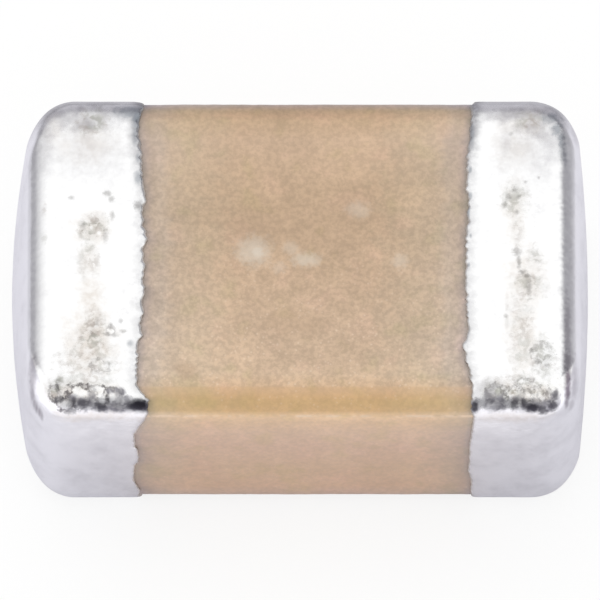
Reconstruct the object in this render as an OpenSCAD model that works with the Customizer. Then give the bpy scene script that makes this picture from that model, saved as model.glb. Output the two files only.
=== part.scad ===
// Multilayer ceramic chip capacitor, 2012 metric case size (0805 inch).
// All sizes are in millimetres. The chip lies on its two lower solder lands, with z = 0 at the lands,
// x along its length and the origin under its middle.

/* [Ceramic body] */
// Length of the fired ceramic block, without its end metal
ceramic_length = 1.84; // [1.7:0.01:2.0]
// Width of the ceramic block
ceramic_width = 1.202; // [1.1:0.002:1.3]
// Thickness of the ceramic block
ceramic_thickness = 0.736; // [0.7:0.002:0.9]
// Radius that tumbling leaves on the long and the end edges
edge_radius = 0.07; // [0.05:0.005:0.08]
// Radius of the four upright corners
corner_radius = 0.17; // [0.17:0.005:0.18]

/* [Inner electrodes] */
// Number of printed electrodes, half of them from each end
electrode_count = 24; // [4:2:30]
// Thickness of one electrode
electrode_thickness = 0.002; // [0.001:0.0005:0.003]
// Bare ceramic between an electrode's sides and the block's sides
side_margin = 0.18; // [0.18:0.01:0.25]
// Bare ceramic between an electrode's tip and the far end of the block
end_margin = 0.2; // [0.12:0.01:0.35]
// Ceramic cover above the top electrode and below the bottom one
cover_thickness = 0.112; // [0.09:0.002:0.2]

/* [End terminations] */
// Distance from the middle of the chip to the left termination's edge
left_reach = 0.578; // [0.5:0.002:0.6]
// Distance from the middle of the chip to the right termination's edge
right_reach = 0.606; // [0.5:0.002:0.62]
// Thickness of the fired copper on the sides of the block
copper_thickness = 0.004; // [0.003:0.001:0.02]
// Thickness of the plated nickel barrier
nickel_thickness = 0.0025; // [0.002:0.0005:0.005]
// Thickness of the plated tin
tin_thickness = 0.0035; // [0.003:0.0005:0.008]
// How much rounder the dipped copper is than the block along its long edges, where it runs thin
edge_thinning = 0.003; // [0:0.001:0.003]
// How far the top of each dome stands off the block's end, before the thickness of the metals
end_build = 0.071; // [0.069:0.001:0.08]
// Height of the left dome above its rim
left_dome = 0.05; // [0.02:0.005:0.055]
// Height of the right dome above its rim
right_dome = 0.03; // [0.02:0.005:0.055]
// Radius of a termination's corners seen from above
plan_radius = 0.17; // [0.16:0.005:0.17]
// Radius of a termination's end edges seen from the side
end_radius = 0.09; // [0.08:0.005:0.1]
// How much rounder the four corners of the left end are than its long edges
left_corner_growth = 0.09; // [0.03:0.01:0.09]
// The same for the right end
right_corner_growth = 0.05; // [0.03:0.01:0.09]
// Width of the rounded lip at a termination's edge
lip_width = 0.022; // [0.01:0.002:0.04]
// How far a termination's edge bows towards the middle of the top and bottom faces
edge_bow = 0.024; // [0:0.002:0.03]
// How far the left termination's edge bows towards the middle of the front and back faces
left_side_bow = 0; // [0:0.002:0.02]
// The same for the right termination
right_side_bow = 0.008; // [0:0.002:0.02]
// How far the left termination creeps further along the block's long edges, or stops short if below 0
left_creep = 0.03; // [-0.03:0.005:0.04]
// The same for the right termination
right_creep = -0.02; // [-0.03:0.005:0.04]
// Height of the ragged waves along a termination's edge
edge_waves = 0.003; // [0:0.0005:0.006]

/* [Hidden] */
$fn = 48;
// How far a slot's cutter runs past the end of the block
OVERCUT = 0.05;

half_length = ceramic_length / 2;
half_width = ceramic_width / 2;
half_thickness = ceramic_thickness / 2;

// Outer face of each metal, as its total thickness over the ceramic: copper, nickel, tin
COPPER = 1;
NICKEL = 2;
TIN = 3;
build_up = [
    0,
    copper_thickness,
    copper_thickness + nickel_thickness,
    copper_thickness + nickel_thickness + tin_thickness
];
standoff = build_up[TIN];
centre_height = half_thickness + standoff;

electrode_length = ceramic_length - end_margin;
electrode_width = ceramic_width - 2 * side_margin;
electrode_pitch = (ceramic_thickness - 2 * cover_thickness) / (electrode_count - 1);

// Steps round one cross-section of a termination
corner_steps = 4;
wide_steps = 10;
tall_steps = 5;
section_points = 4 * (corner_steps + 1) + 2 * (wide_steps - 1) + 2 * (tall_steps - 1);

// Slopes at which the lip and the rounded end edges are drawn, and shares of the rim for the dome
lip_angles = [-20, 25, 60, 90];
RIM_ANGLE = 62;
edge_angles = [0, 25, 45, RIM_ANGLE];
dome_shares = [0.8, 0.55, 0.28];
// How narrow the creep along the long edges is
CREEP_POWER = 12;
// Where the ragged waves start on each end, so that the two edges differ
left_wave_phase = 60;
right_wave_phase = 180;

function two_digits(n) = str(n < 10 ? "0" : "", n);
function is_left(index) = index % 2 == 0;
function electrode_name(index) =
    str(is_left(index) ? "left" : "right", "_electrode_", two_digits(floor(index / 2) + 1));

// Rectangle with round corners, centred
module rounded_rectangle(length, width, radius) {
    square([length - 2 * radius, width], center = true);
    square([length, width - 2 * radius], center = true);
    for (x = [-1, 1], y = [-1, 1])
        translate([x * (length / 2 - radius), y * (width / 2 - radius)])
            circle(r = radius);
}

// Half of the side view beyond the upright corners' axes: flat at x = 0, rounded at x = corner_radius
module end_profile() {
    intersection() {
        rounded_rectangle(2 * corner_radius, ceramic_thickness, edge_radius);
        translate([0, -half_thickness])
            square([corner_radius, ceramic_thickness]);
    }
}

// The tumbled block: a straight middle, two straight ends and four turned corners that meet face to face
module block() {
    middle_length = ceramic_length - 2 * corner_radius;
    end_width = ceramic_width - 2 * corner_radius;
    rotate([90, 0, 90])
        linear_extrude(height = middle_length, center = true)
            rounded_rectangle(ceramic_width, ceramic_thickness, edge_radius);
    for (turn = [0, 180])
        rotate([0, 0, turn])
            translate([middle_length / 2, 0, 0])
                rotate([90, 0, 0])
                    linear_extrude(height = end_width, center = true)
                        end_profile();
    for (x = [-1, 1], y = [-1, 1])
        translate([x * middle_length / 2, y * end_width / 2, 0])
            rotate([0, 0, x > 0 ? (y > 0 ? 0 : 270) : (y > 0 ? 90 : 180)])
                rotate_extrude(angle = 90)
                    end_profile();
}

// One electrode's plate, from its own end of the block inwards, run past that end by extra
module plate(index, extra = 0) {
    level = (index - (electrode_count - 1) / 2) * electrode_pitch;
    mirror([is_left(index) ? 1 : 0, 0, 0])
        translate([half_length - electrode_length, -electrode_width / 2, level - electrode_thickness / 2])
            cube([electrode_length + extra, electrode_width, electrode_thickness]);
}

module ceramic_body() {
    color([0.80, 0.69, 0.54])
        translate([0, 0, centre_height])
            difference() {
                block();
                for (index = [0 : electrode_count - 1])
                    plate(index, OVERCUT);
            }
}

module electrode(index) {
    color([0.55, 0.53, 0.50])
        translate([0, 0, centre_height])
            plate(index);
}

// Corner of a cross-section as an arc of points
function corner_points(centre, radius, start) = [
    for (step = [0 : corner_steps])
        let (angle = start + 90 * step / corner_steps)
            centre + radius * [cos(angle), sin(angle)]
];

// Points inside a straight side of a cross-section, without its two ends
function side_points(from, to, steps) = [
    for (step = [1 : steps - 1])
        from + (to - from) * step / steps
];

// One cross-section across the chip: a rectangle with round corners, as [y, z] points
function section(w, h, radius) =
    let (
        r = min(radius, w, h),
        upper_right = corner_points([w - r, h - r], r, 0),
        upper_left = corner_points([r - w, h - r], r, 90),
        lower_left = corner_points([r - w, r - h], r, 180),
        lower_right = corner_points([w - r, r - h], r, 270),
        last = corner_steps
    )
    concat(
        upper_right, side_points(upper_right[last], upper_left[0], wide_steps),
        upper_left, side_points(upper_left[last], lower_left[0], tall_steps),
        lower_left, side_points(lower_left[last], lower_right[0], wide_steps),
        lower_right, side_points(lower_right[last], upper_right[0], tall_steps)
    );

// Each end's own values. A side is 1 at the right end and -1 at the left
function reach(side) = side > 0 ? right_reach : left_reach;
function side_bow(side) = side > 0 ? right_side_bow : left_side_bow;
function creep(side) = side > 0 ? right_creep : left_creep;
function dome(side) = side > 0 ? right_dome : left_dome;
function corner_growth(side) = side > 0 ? right_corner_growth : left_corner_growth;
function wave_phase(side) = side > 0 ? right_wave_phase : left_wave_phase;

// Where the rounded end edge starts, seen from the side and from above
function edge_start(side) = half_length + end_build - dome(side) - end_radius * sin(RIM_ANGLE);
function corner_start(side) = edge_start(side) - (plan_radius - end_radius);

// Half width and half height of the metal's outer face at x, where t is its thickness over the ceramic
function arc_height(radius, x) = sqrt(max(0, radius * radius - max(0, x) * max(0, x)));
function plan_half(x, t, side) =
    half_width - plan_radius + arc_height(plan_radius + t, x - corner_start(side));
function side_half(x, t, side) =
    half_thickness - end_radius + arc_height(end_radius + t, x - edge_start(side));

// Ragged edge of a termination at one point of its cross-section, counted towards the middle of the chip
function raggedness(step, y, z, side) =
    let (
        turn = 360 * step / section_points,
        phase = wave_phase(side),
        share_y = abs(y) / half_width,
        share_z = abs(z) / half_thickness
    )
    edge_bow * (1 - share_y * share_y)
    + side_bow(side) * (1 - share_z * share_z)
    + creep(side) * pow(min(share_y, share_z), CREEP_POWER)
    + edge_waves * (sin(2 * turn + phase) + sin(5 * turn + 2 * phase) + sin(13 * turn + 3 * phase));

// Cross-sections of one metal's outer face, from its lip to the top of its dome:
// each is [x, half width, half height, corner radius, share of the raggedness]
function lip_rows(t, side) =
    let (spread = t - copper_thickness)
    [
        for (angle = lip_angles)
            let (rise = t * sin(angle), thinning = edge_thinning * max(0, sin(angle)))
                [
                    reach(side) - spread + (lip_width + spread) * (1 - cos(angle)),
                    half_width + rise, half_thickness + rise, edge_radius + rise + thinning, 1
                ]
    ];

function corner_rows(t, side) =
    let (
        start = corner_start(side),
        xs = concat([start], [for (angle = edge_angles) edge_start(side) + (end_radius + t) * sin(angle)]),
        span = xs[len(xs) - 1] - start
    )
    [
        for (x = xs)
            let (share = (x - start) / span)
                [
                    x, plan_half(x, t, side), side_half(x, t, side),
                    edge_radius + edge_thinning + t + corner_growth(side) * share * share, 0
                ]
    ];

function dome_rows(rim, side) = [
    for (share = dome_shares)
        [rim[0] + dome(side) * (1 - share * share), rim[1] * share, rim[2] * share, rim[3] * share, 0]
];

// All points of one metal's outer face; the last one is the top of the dome
lip_count = len(lip_angles);
corner_count = 1 + len(edge_angles);
row_count = lip_count + corner_count + len(dome_shares);
skin_size = row_count * section_points + 1;

function skin_points(t, side) =
    let (
        corners = corner_rows(t, side),
        rim = corners[corner_count - 1],
        rows = concat(lip_rows(t, side), corners, dome_rows(rim, side))
    )
    concat(
        [
            for (row = rows)
                let (ring = section(row[1], row[2], row[3]))
                    for (step = [0 : section_points - 1])
                        let (p = ring[step])
                            [row[0] - row[4] * raggedness(step, p[0], p[1], side), p[0], p[1]]
        ],
        [[rim[0] + dome(side), 0, 0]]
    );

function next_step(step) = (step + 1) % section_points;

// Triangles of one outer face whose points begin at base, facing outwards
function skin_faces(base) = concat(
    [
        for (row = [0 : row_count - 2], step = [0 : section_points - 1])
            let (
                a = base + row * section_points + step,
                b = base + row * section_points + next_step(step),
                c = b + section_points,
                d = a + section_points
            )
            each [[a, d, c], [a, c, b]]
    ],
    [
        for (step = [0 : section_points - 1])
            let (last = base + (row_count - 1) * section_points)
                [last + step, base + skin_size - 1, last + next_step(step)]
    ]
);

function turned_over(faces) = [for (face = faces) [face[2], face[1], face[0]]];

// Triangles that join the lip of the outer face to the lip of the inner one
function lip_faces(base) = [
    for (step = [0 : section_points - 1])
        each [
            [step, next_step(step), base + next_step(step)],
            [step, base + next_step(step), base + step]
        ]
];

// The dipped copper as a whole cap, closed on a point inside the block
module copper_cap(side) {
    centre = [[(half_length + reach(side)) / 2, 0, 0]];
    polyhedron(
        points = concat(skin_points(build_up[COPPER], side), centre),
        faces = concat(
            skin_faces(0),
            [for (step = [0 : section_points - 1]) [step, next_step(step), skin_size]]
        ),
        convexity = 4
    );
}

// One plated metal, between the outer face of the metal below it and its own
module plated_skin(metal, side) {
    polyhedron(
        points = concat(skin_points(build_up[metal], side), skin_points(build_up[metal - 1], side)),
        faces = concat(skin_faces(0), turned_over(skin_faces(skin_size)), lip_faces(skin_size)),
        convexity = 6
    );
}

// One metal of a termination, seated on the ceramic
module termination(metal, side) {
    translate([0, 0, centre_height])
        mirror([side > 0 ? 0 : 1, 0, 0])
            difference() {
                if (metal == COPPER)
                    copper_cap(side);
                else
                    plated_skin(metal, side);
                block();
            }
}

module copper_base(side) {
    color([0.72, 0.45, 0.33])
        termination(COPPER, side);
}

module nickel_barrier(side) {
    color([0.66, 0.64, 0.60])
        termination(NICKEL, side);
}

module tin_plating(side) {
    color([0.86, 0.87, 0.90])
        termination(TIN, side);
}

ceramic_body();
copper_base(-1);  // left_copper_base
nickel_barrier(-1);  // left_nickel_barrier
tin_plating(-1);  // left_tin_plating
copper_base(1);  // right_copper_base
nickel_barrier(1);  // right_nickel_barrier
tin_plating(1);  // right_tin_plating
for (index = [0 : electrode_count - 1])
    electrode(index);
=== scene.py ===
import math

import bpy
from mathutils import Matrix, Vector, noise


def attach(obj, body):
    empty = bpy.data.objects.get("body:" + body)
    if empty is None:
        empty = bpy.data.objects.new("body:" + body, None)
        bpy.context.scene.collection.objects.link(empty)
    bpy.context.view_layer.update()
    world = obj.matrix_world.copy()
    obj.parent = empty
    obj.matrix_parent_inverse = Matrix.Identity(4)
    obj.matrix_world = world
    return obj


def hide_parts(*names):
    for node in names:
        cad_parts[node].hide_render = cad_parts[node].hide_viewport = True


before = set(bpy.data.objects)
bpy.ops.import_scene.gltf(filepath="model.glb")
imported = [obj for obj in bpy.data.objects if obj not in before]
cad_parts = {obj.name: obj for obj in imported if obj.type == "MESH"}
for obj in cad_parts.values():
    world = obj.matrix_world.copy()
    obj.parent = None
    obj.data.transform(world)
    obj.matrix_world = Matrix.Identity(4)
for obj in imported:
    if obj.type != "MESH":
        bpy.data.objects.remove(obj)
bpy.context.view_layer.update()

# The chip is 2 mm long. Its pieces are modelled in millimetres and brought down to metres at the end.
milli = 0.001
hair = 0.001  # mm, places nearer than this count as level

bpy.context.scene.view_settings.view_transform = "Standard"

print("stage: camera")

view = dict(
    elevation=62.6,  # degrees above the floor
    distance=80.0,  # mm, far enough to be nearly free of perspective
    clip=(0.2, 6.0),  # nearest and furthest place shown, in shares of that distance
    pixelsPerMm=288.0,
    imageWidth=600.0,
    sensor=36.0,
    middle=0.378,  # mm, height of the chip's middle
    drop=0.5,  # px, the chip's middle stands this far above the image's middle
    sightStart=0.9, sightStep=0.002, sightSteps=900,  # mm, the search along a line of sight, toward the back
)


def placeCamera():
    data = bpy.data.cameras.new("photoCamera")
    camera = bpy.data.objects.new("photoCamera", data)
    bpy.context.scene.collection.objects.link(camera)
    tilt = math.radians(view["elevation"])
    back = Vector((0.0, -math.cos(tilt), math.sin(tilt)))
    up = Vector((0.0, math.sin(tilt), math.cos(tilt)))
    aim = Vector((0.0, 0.0, view["middle"])) - up * view["drop"] / view["pixelsPerMm"]
    camera.location = (aim + back * view["distance"]) * milli
    camera.rotation_euler = (math.radians(90.0 - view["elevation"]), 0.0, 0.0)
    data.sensor_width = view["sensor"]
    data.lens = view["sensor"] * view["distance"] * view["pixelsPerMm"] / view["imageWidth"]
    data.clip_start, data.clip_end = [share * view["distance"] * milli for share in view["clip"]]
    bpy.context.scene.camera = camera


placeCamera()

print("stage: node helpers")


def addNode(tree, kind, inputs=None, **settings):
    node = tree.nodes.new("ShaderNode" + kind)
    for name, value in settings.items():
        setattr(node, name, value)
    for name, value in (inputs or {}).items():
        if isinstance(value, bpy.types.NodeSocket):
            tree.links.new(value, node.inputs[name])
        else:
            node.inputs[name].default_value = value
    return node


# Adds a node to the tree of the sockets that feed it
def feed(kind, inputs, **settings):
    tree = next(value.id_data for value in inputs.values() if isinstance(value, bpy.types.NodeSocket))
    return addNode(tree, kind, inputs, **settings)


def emptyTree(owner):
    owner.use_nodes = True
    owner.node_tree.nodes.clear()
    return owner.node_tree


def maths(operation, first, second=0.0):
    return feed("Math", {0: first, 1: second}, operation=operation).outputs[0]


def times(*factors):
    result = factors[0]
    for factor in factors[1:]:
        result = maths("MULTIPLY", result, factor)
    return result


def vectorMaths(operation, first, second):
    return feed("VectorMath", {0: first, 1: second}, operation=operation).outputs[0]


def scaled(vector, share):
    return feed("VectorMath", {0: vector, "Scale": share}, operation="SCALE").outputs[0]


def lengthOf(vector):
    return feed("VectorMath", {0: vector}, operation="LENGTH").outputs["Value"]


def partsOf(vector):
    return feed("SeparateXYZ", {0: vector}).outputs


def ramp(value, start, end, low=0.0, high=1.0):
    span = {"Value": value, "From Min": start, "From Max": end, "To Min": low, "To Max": high}
    return feed("MapRange", span, interpolation_type="SMOOTHSTEP").outputs[0]


def colour(red, green, blue):
    def toLinear(level):
        share = level / 255.0
        return share / 12.92 if share <= 0.04045 else ((share + 0.055) / 1.055) ** 2.4

    return (toLinear(red), toLinear(green), toLinear(blue), 1.0)


def plain(level):
    return (level, level, level, 1.0)


white = plain(1.0)


def mixed(factor, first, second, mode="MIX"):
    return feed("Mix", {0: factor, 6: first, 7: second}, data_type="RGBA", blend_type=mode).outputs[2]


# A colour ramp over a value: its stops give the values and their colours
def tones(value, stops):
    start, end = stops[0][0], stops[-1][0]
    share = feed("MapRange", {"Value": value, "From Min": start, "From Max": end}).outputs[0]
    node = feed("ValToRGB", {"Fac": share})
    elements = node.color_ramp.elements
    for stop in stops[1:-1]:
        elements.new((stop[0] - start) / (end - start))
    for element, stop in zip(elements, stops):
        element.color = stop[1]
    return node.outputs["Color"]


def noiseOf(position, scale, detail, rough, warp=0.0):
    inputs = {"Vector": position, "Scale": scale, "Detail": detail, "Roughness": rough, "Distortion": warp}
    return feed("TexNoise", inputs).outputs["Fac"]


# A new material, and the place on the piece in mm
def newMaterial(name):
    material = bpy.data.materials.new(name)
    place = addNode(emptyTree(material), "TexCoord").outputs["Object"]
    return material, scaled(place, 1.0 / milli)


# A measure that markPoints has stored
def measureOf(material, name):
    settings = dict(attribute_name=name, attribute_type="GEOMETRY")
    return addNode(material.node_tree, "Attribute", **settings).outputs["Fac"]


def finishMaterial(surface):
    feed("OutputMaterial", {"Surface": feed("BsdfPrincipled", surface).outputs["BSDF"]})


def bumped(height, depth):
    return feed("Bump", {"Height": height, "Distance": depth * milli, "Strength": 1.0}).outputs["Normal"]


def newGroup(name, inputs, outputs):
    tree = bpy.data.node_groups.new(name, "ShaderNodeTree")
    for way, sockets in (("INPUT", inputs), ("OUTPUT", outputs)):
        for title, kind in sockets.items():
            tree.interface.new_socket(name=title, in_out=way, socket_type=kind)
    start = tree.nodes.new("NodeGroupInput")
    end = tree.nodes.new("NodeGroupOutput")
    return tree, start.outputs, end.inputs


def useGroup(group, inputs):
    return feed("Group", inputs, node_tree=group).outputs


number, vector = "NodeSocketFloat", "NodeSocketVector"


def makeSpotGroup():
    inputs = {"Position": vector, "Centre": vector, "Reach": vector, "Unevenness": number, "Softness": number}
    tree, given, result = newGroup("spot", inputs, {"Mask": number, "Rim": number})
    offset = vectorMaths("SUBTRACT", given["Position"], given["Centre"])
    radius = lengthOf(vectorMaths("DIVIDE", offset, given["Reach"]))
    uneven = maths("ADD", radius, given["Unevenness"])
    inner = maths("SUBTRACT", 1.0, given["Softness"])
    outer = maths("ADD", 1.0, given["Softness"])
    offRim = maths("ABSOLUTE", maths("SUBTRACT", uneven, 1.0))
    tree.links.new(ramp(uneven, inner, outer, 1.0, 0.0), result["Mask"])
    tree.links.new(ramp(offRim, given["Softness"], 0.0), result["Rim"])
    return tree


def makeGrainGroup():
    inputs = {"Position": vector, "Frequency": number, "Roughness": number}
    tree, given, result = newGroup("grain", inputs, {"Fine": number, "Cells": number})
    fine = noiseOf(given["Position"], given["Frequency"], 3.0, given["Roughness"])
    cells = feed("TexVoronoi", {"Vector": given["Position"], "Scale": given["Frequency"]}).outputs["Distance"]
    tree.links.new(ramp(fine, 0.3, 0.7), result["Fine"])
    tree.links.new(ramp(cells, 0.55, 0.1), result["Cells"])
    return tree


spotGroup, grainGroup = makeSpotGroup(), makeGrainGroup()


def grainOf(position, frequency, roughness):
    return useGroup(grainGroup, {"Position": position, "Frequency": frequency, "Roughness": roughness})


# Ragged spots, each with its place, reach, strength and raggedness: their masks, or their rims
def spots(position, places, frequency, softness, kind="Mask"):
    rough = maths("SUBTRACT", noiseOf(position, frequency, 3.0, 0.6), 0.5)
    total = None
    for centre, reach, strength, ragged in places:
        inputs = {
            "Position": position, "Centre": centre, "Reach": reach,
            "Unevenness": times(rough, ragged), "Softness": softness,
        }
        mask = times(useGroup(spotGroup, inputs)[kind], strength)
        total = mask if total is None else maths("MAXIMUM", total, mask)
    return total


print("stage: world, floor and lamp")

studio = dict(
    fill=0.90,  # even light from all round
    key=0.5,  # soft lamp from above, behind the chip
    keyAngle=50.0, keyTilt=(-28.0, -12.0),
    ceiling=1.15,  # white ceiling, seen by the metal only
    # walls seen by the metal only: their level by height, from level with the chip (0) to straight above (1),
    # and the height where each has passed into the ceiling
    leftWall=((0.0, 0.39), (0.3, 0.39)), leftTop=0.88,
    rightWall=((0.0, 0.60), (0.33, 0.41), (0.52, 0.41), (0.665, 0.35), (0.735, 0.36)), rightTop=0.81,
    backWall=((0.0, 0.64), (0.4, 0.63), (0.76, 0.63)), backTop=0.85,
    wallTint=(0.985, 0.97, 1.05),
    # where one wall passes into the next, and they pass into white in front, by direction
    leftToRight=(-0.3, 0.3), toBack=(0.5, 0.95), toOpen=(-0.42, -0.24),
    # the open front of the studio: its tone, and where it lies by direction and by height
    darkWall=(0.40, 0.40, 0.42, 1.0), darkAcross=(0.90, 0.97), darkFrom=(0.02, 0.12), darkTo=(0.84, 0.76),
    floorSize=400.0, floorDrop=0.0005,
    floorTone=(0.83, 0.82, 0.89, 1.0),
    floorLeft=0.955, floorRight=0.925, floorBack=0.64,  # shares of that tone that the metal sees on each side
    floorDistant=0.8,  # share of it behind the chip on the left, further away
    floorLift=0.82,  # share of plain white in the floor as the camera sees it
    floorSides=(-0.3, 0.3),  # mm, where the left half of the floor passes into the right one
    # where its back and its distant part start: by direction, from front (1) to back (-1), and in mm
    backTurn=(-0.58, -0.75), distantTurn=(0.0, -0.2), distantReach=(2.3, 5.0),
    # brighter floor in front of the chip, seen by the metal only, in mm from the chip's middle
    floorGlow=0.14, glowReach=(0.75, 1.35),
    brinkGlow=0.18, brinkReach=(0.925, 0.953),  # its sharper near edge
    # the same off the chip's front corners: where it starts on each side, and between which directions
    sideGlow=0.4, sideStarts=(1.75, 2.3), sideSoftness=0.5, sideFrom=(0.0, 0.12), sideTo=(0.9, 0.75),
)


def wallTones(height, side):
    tint, last = studio["wallTint"], (studio[side + "Top"], plain(studio["ceiling"]))
    stops = [(place, [level * part for part in tint] + [1.0]) for place, level in studio[side + "Wall"]]
    return tones(height, stops + [last])


def shaderOf(tree, kind, tone, strength=None):
    inputs = {"Color": tone} if strength is None else {"Color": tone, "Strength": strength}
    return addNode(tree, kind, inputs).outputs[0]


# The shader with a white glow of the given strength added
def glowing(shader, strength):
    return feed("AddShader", {0: shader, 1: shaderOf(shader.id_data, "Emission", white, strength)}).outputs[0]


# The second shader for the named kind of ray, the first for all others
def forRays(kind, others, those):
    share = addNode(others.id_data, "LightPath").outputs[kind]
    return feed("MixShader", {0: share, 1: others, 2: those}).outputs[0]


def makeWorld():
    s = studio
    world = bpy.data.worlds.new("studio")
    bpy.context.scene.world = world
    world.cycles.sampling_method = "NONE"
    tree = emptyTree(world)
    x, y, z = partsOf(addNode(tree, "TexCoord").outputs["Generated"])
    flat = maths("SQRT", maths("ADD", times(x, x), times(y, y)))
    forward = maths("DIVIDE", times(y, -1.0), maths("MAXIMUM", flat, 0.001))
    left, right, back = [wallTones(z, side) for side in ("left", "right", "back")]
    seen = mixed(ramp(x, *s["leftToRight"]), left, right)
    seen = mixed(ramp(y, *s["toBack"]), seen, back)
    seen = mixed(ramp(forward, *s["toOpen"]), seen, plain(s["ceiling"]))
    upward = times(ramp(z, *s["darkFrom"]), ramp(z, *s["darkTo"]))
    seen = mixed(times(ramp(forward, *s["darkAcross"]), upward), seen, s["darkWall"])
    lit = shaderOf(tree, "Background", white, s["fill"])
    whole = forRays("Is Camera Ray", lit, shaderOf(tree, "Background", white, 1.0))
    feed("OutputWorld", {"Surface": forRays("Is Glossy Ray", whole, shaderOf(tree, "Background", seen, 1.0))})


def makeFloor():
    s = studio
    level = -s["floorDrop"] * milli
    bpy.ops.mesh.primitive_plane_add(size=s["floorSize"] * milli, location=(0.0, 0.0, level))
    floor = bpy.context.object
    floor.name = "floorSheet"
    material = bpy.data.materials.new("paleFloor")
    tree = emptyTree(material)
    position = addNode(tree, "TexCoord").outputs["Object"]
    x, y = partsOf(position)[:2]

    def rampMm(value, span, low=0.0, high=1.0):
        return ramp(value, span[0] * milli, span[1] * milli, low, high)

    forward = times(y, -1.0)
    far = lengthOf(position)
    toFront = maths("DIVIDE", forward, maths("MAXIMUM", far, 0.1 * milli))
    # the floor's tone as the metal sees it, and its glow there
    distant = times(
        ramp(toFront, *s["distantTurn"]), rampMm(far, s["distantReach"]),
        rampMm(x, s["floorSides"][::-1]),
    )
    share = times(
        rampMm(x, s["floorSides"], s["floorLeft"], s["floorRight"]),
        ramp(toFront, *s["backTurn"], 1.0, s["floorBack"]),
        ramp(distant, 0.0, 1.0, 1.0, s["floorDistant"]),
    )
    toned = shaderOf(tree, "BsdfDiffuse", scaled(s["floorTone"][:3], share))
    ahead = rampMm(forward, s["glowReach"], 0.0, s["floorGlow"])
    brink = rampMm(forward, s["brinkReach"], 0.0, s["brinkGlow"])
    beyond = rampMm(x, s["floorSides"], s["sideStarts"][0] * milli, s["sideStarts"][1] * milli)
    past = rampMm(maths("SUBTRACT", far, beyond), (0.0, s["sideSoftness"]))
    aslant = times(ramp(toFront, *s["sideFrom"]), ramp(toFront, *s["sideTo"]))
    offCorner = times(aslant, past, s["sideGlow"])
    mirrored = glowing(toned, maths("MAXIMUM", maths("ADD", ahead, brink), offCorner))
    # and as the camera sees it
    shadowed = shaderOf(tree, "BsdfDiffuse", plain(1.0 - s["floorLift"]))
    shown = glowing(shadowed, s["floorLift"])
    whole = forRays("Is Glossy Ray", shaderOf(tree, "BsdfDiffuse", s["floorTone"]), mirrored)
    feed("OutputMaterial", {"Surface": forRays("Is Camera Ray", whole, shown)})
    floor.data.materials.append(material)


def makeLamp():
    data = bpy.data.lights.new("softLamp", "SUN")
    data.energy = studio["key"]
    data.angle = math.radians(studio["keyAngle"])
    lamp = bpy.data.objects.new("softLamp", data)
    bpy.context.scene.collection.objects.link(lamp)
    lamp.rotation_euler = [math.radians(angle) for angle in studio["keyTilt"]] + [0.0]
    lamp.visible_glossy = False


makeWorld()
makeFloor()
makeLamp()

print("stage: modelling helpers")


def choose(*pieces):
    bpy.ops.object.select_all(action="DESELECT")
    for piece in pieces:
        piece.select_set(True)
        bpy.context.view_layer.objects.active = pieces[0]


def startCube(name, low, high):
    choose()
    middle = [(a + b) / 2.0 for a, b in zip(low, high)]
    size = [b - a for a, b in zip(low, high)]
    bpy.ops.mesh.primitive_cube_add(size=1.0, location=middle, scale=size)
    piece = bpy.context.object
    piece.name = name
    piece.data.name = name
    bpy.ops.object.transform_apply(location=True, rotation=True, scale=True)
    return piece


# Selects the vertices or edges that pass the test, and leaves the piece in edit mode
def pick(piece, kind, test):
    mesh = piece.data
    bpy.ops.object.mode_set(mode="EDIT")
    bpy.ops.mesh.select_mode(type=kind)
    bpy.ops.mesh.select_all(action="DESELECT")
    bpy.ops.object.mode_set(mode="OBJECT")
    if kind == "VERT":
        for vertex in mesh.vertices:
            vertex.select = test(vertex.co)
    else:
        for edge in mesh.edges:
            edge.select = test(*(mesh.vertices[i].co for i in edge.vertices))
    bpy.ops.object.mode_set(mode="EDIT")


def backToObject():
    bpy.ops.object.mode_set(mode="OBJECT")


def bevelEdges(piece, test, radius, segments):
    pick(piece, "EDGE", test)
    bpy.ops.mesh.bevel(offset=radius, segments=segments, affect="EDGES", clamp_overlap=False)
    backToObject()


def applyModifier(piece, kind, **settings):
    modifier = piece.modifiers.new(kind.lower(), kind)
    for name, value in settings.items():
        setattr(modifier, name, value)
    bpy.context.view_layer.objects.active = piece
    bpy.ops.object.modifier_apply(modifier=modifier.name)


def displace(piece, texture, strength, level, direction="NORMAL", group=""):
    applyModifier(
        piece, "DISPLACE", texture=texture, strength=strength, mid_level=level, direction=direction,
        vertex_group=group, texture_coords="LOCAL",
    )


def cloudTexture(name, size, depth=2, contrast=1.0):
    texture = bpy.data.textures.new(name, "CLOUDS")
    texture.noise_scale = size
    texture.noise_depth = depth
    texture.contrast = contrast
    return texture


def weigh(piece, name, rule):
    group = piece.vertex_groups.new(name=name)
    for vertex in piece.data.vertices:
        share = rule(vertex.co)
        if share > 0.0:
            group.add([vertex.index], min(share, 1.0), "REPLACE")


# Stores a measure of every point on the piece, for its finish
def markPoints(piece, name, rule):
    layer = piece.data.attributes.new(name=name, type="FLOAT", domain="POINT")
    layer.data.foreach_set("value", [rule(vertex.co) for vertex in piece.data.vertices])


# Brings a piece from millimetres to metres and onto the part
def bringHome(piece):
    choose(piece)
    piece.scale = (milli, milli, milli)
    bpy.ops.object.transform_apply(location=True, rotation=True, scale=True)
    bpy.ops.object.shade_smooth()
    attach(piece, "root")


def dress(piece, material):
    piece.data.materials.clear()
    piece.data.materials.append(material)


def softStep(value, start, end):
    share = min(max((value - start) / (end - start), 0.0), 1.0)
    return share * share * (3.0 - 2.0 * share)


print("stage: ceramic block")

ceramic = dict(
    length=1.84, width=1.202, height=0.736, foot=0.010,
    uprightRadius=0.17, edgeRadius=0.07,
    grid=0.0115,
    electrodes=24, electrodeThickness=0.002, sideMargin=0.18, endMargin=0.2, cover=0.112,
    overrun=0.05,  # how far the cutters of the slots stand out of the end
    pitDepth=0.0012, pitSize=0.035, waveDepth=0.002, waveSize=0.25,
)


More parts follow.
